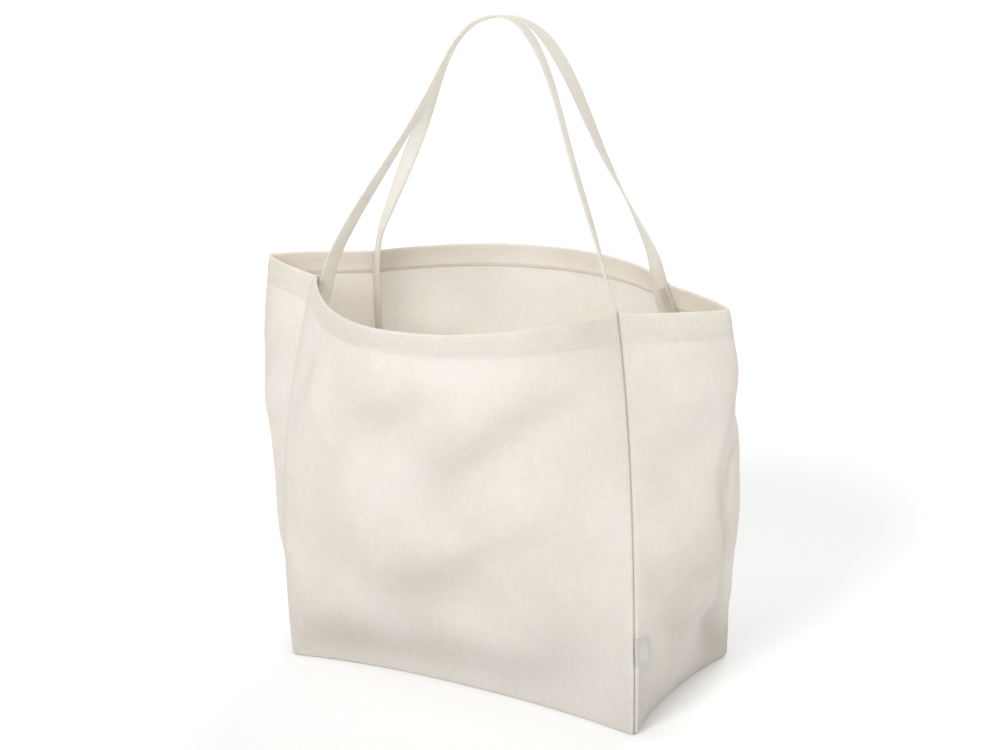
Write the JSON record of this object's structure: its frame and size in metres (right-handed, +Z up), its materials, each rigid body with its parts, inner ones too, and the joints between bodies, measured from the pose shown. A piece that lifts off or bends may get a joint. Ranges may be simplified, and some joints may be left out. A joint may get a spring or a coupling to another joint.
{
  "type": "canvas bulk bag",
  "caption": "Open-topped natural canvas carrier bag with gusseted sides, flat base, hemmed rim, seam-sewn long strap handles that fold over, and a small blank side label.",
  "frame": {"origin": "middle of the underside of the base panel, on the surface the bag stands on", "axes": "+Z up, +X along the front panel to its right end, +Y from the front panel to the back panel"},
  "size_m": [0.5441, 0.2893, 0.6608],
  "materials": {
    "panel_canvas": "natural unbleached plain-weave cotton canvas, matte",
    "hem_canvas": "turned-in double canvas, matte, one stitch line",
    "strap_canvas": "folded canvas strap, edge stitched, matte",
    "seam_binding": "cotton tape, matte",
    "label_weave": "fine woven label, matte"
  },
  "bodies": {
    "bag": {"base_panel": "panel_canvas", "front_panel": "panel_canvas", "back_panel": "panel_canvas", "left_gusset": "panel_canvas", "right_gusset": "panel_canvas", "front_rim_hem": "hem_canvas", "back_rim_hem": "hem_canvas", "left_rim_hem": "hem_canvas", "right_rim_hem": "hem_canvas", "front_left_seam_binding": "seam_binding", "front_right_seam_binding": "seam_binding", "back_right_seam_binding": "seam_binding", "back_left_seam_binding": "seam_binding", "front_left_strap_tail": "strap_canvas", "front_right_strap_tail": "strap_canvas", "back_right_strap_tail": "strap_canvas", "back_left_strap_tail": "strap_canvas"},
    "front_handle": {"front_handle_left_leg": "strap_canvas", "front_handle_right_leg": "strap_canvas"},
    "front_handle_top": {"front_handle_loop": "strap_canvas"},
    "back_handle": {"back_handle_left_leg": "strap_canvas", "back_handle_right_leg": "strap_canvas"},
    "back_handle_top": {"back_handle_loop": "strap_canvas"},
    "label": {"side_label": "label_weave"}
  },
  "joints": [
    {"name": "front_handle_fold", "type": "hinge", "parent": "bag", "child": "front_handle", "pos_m": [0, -0.0526, 0.4015], "axis": [1, 0, 0], "range_deg": [0, 90]},
    {"name": "front_handle_droop", "type": "hinge", "parent": "front_handle", "child": "front_handle_top", "pos_m": [0, -0.0363, 0.52], "axis": [1, 0, 0], "range_deg": [0, 90]},
    {"name": "back_handle_fold", "type": "hinge", "parent": "bag", "child": "back_handle", "pos_m": [0, 0.0526, 0.4015], "axis": [-1, 0, 0], "range_deg": [0, 90]},
    {"name": "back_handle_droop", "type": "hinge", "parent": "back_handle", "child": "back_handle_top", "pos_m": [0, 0.0358, 0.52], "axis": [-1, 0, 0], "range_deg": [0, 90]},
    {"name": "label_flip", "type": "hinge", "parent": "bag", "child": "label", "pos_m": [0.2037, -0.0983, 0.087], "axis": [0, 0, -1], "range_deg": [0, 170]}
  ]
}
